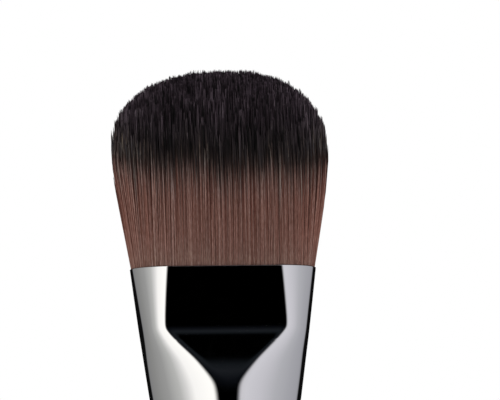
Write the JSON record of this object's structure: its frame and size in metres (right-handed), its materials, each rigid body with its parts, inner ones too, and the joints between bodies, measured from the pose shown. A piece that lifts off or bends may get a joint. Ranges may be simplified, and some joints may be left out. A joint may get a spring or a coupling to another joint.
{
  "type": "foundation brush",
  "caption": "Flat foundation brush: a dome-cut, two-tone filament tuft in a pressed conical metal ferrule, on a turned black handle with a flat end.",
  "frame": {"origin": "centre of the handle's flat end, which the brush stands on", "axes": "+Z along the brush from the handle's end to the tips of the hair, +X along the width of the tuft, +Y through its thickness"},
  "size_m": [0.0355, 0.0184, 0.1746],
  "materials": {
    "lacquer": "turned wood under black gloss lacquer",
    "plated_metal": "polished plating on drawn tube",
    "filament": "tapered synthetic filament, warm brown from the roots, near black over the upper half",
    "thread": "plain spun thread, hidden in the ferrule",
    "resin": "cast amber resin, hidden in the ferrule"
  },
  "bodies": {
    "root": {"handle": "lacquer", "ferrule": "plated_metal", "bristles": "filament", "hair_butts": "filament", "binding_thread": "thread", "resin_plug": "resin"}
  },
  "joints": []
}
